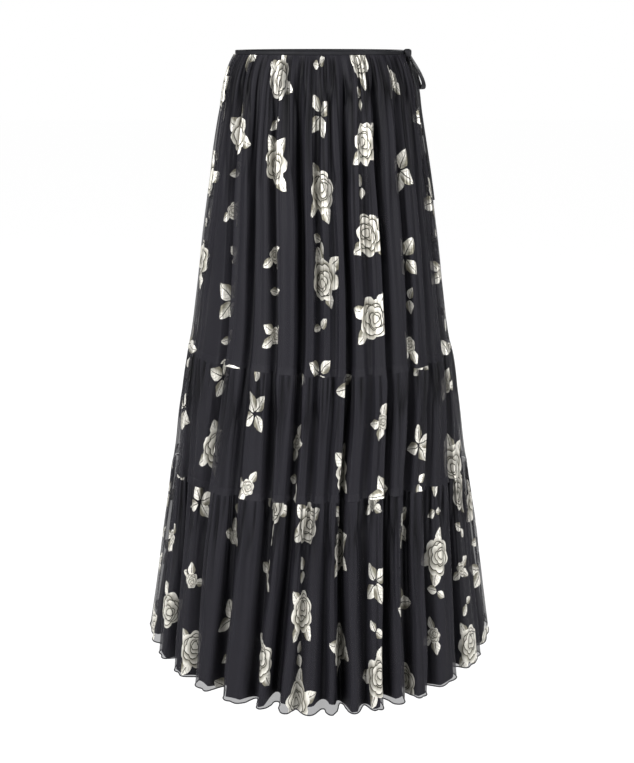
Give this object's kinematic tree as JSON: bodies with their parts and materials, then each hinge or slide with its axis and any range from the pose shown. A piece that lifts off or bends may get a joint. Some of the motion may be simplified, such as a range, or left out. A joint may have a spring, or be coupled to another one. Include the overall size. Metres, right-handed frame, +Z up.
{
  "type": "midi skirt",
  "caption": "Long tiered skirt of sheer gathered cloth over a plain slip, hollow as worn, with a narrow waistband and a side tie.",
  "frame": {"origin": "middle of the waist opening, level with the waistband's top edge, where the wearer holds the skirt up", "axes": "+Z up along the wearer's body, front of the skirt towards -Y, the wearer's left towards +X"},
  "size_m": [0.5476, 0.5399, 0.921],
  "materials": {
    "waistband": "matte woven",
    "georgette": "sheer crepe weave with metallic flower motifs",
    "lining": "smooth plain weave",
    "tie": "matte crepe weave"
  },
  "bodies": {
    "root": {"waistband": "waistband", "tier_1_front": "georgette", "tier_1_back": "georgette", "tier_2_front": "georgette", "tier_2_back": "georgette", "tier_3_front": "georgette", "tier_3_back": "georgette", "lining_front": "lining", "lining_back": "lining", "tie_knot": "tie", "tie_loop": "tie", "tie_tail_short": "tie", "tie_tail_long": "tie"}
  },
  "joints": []
}
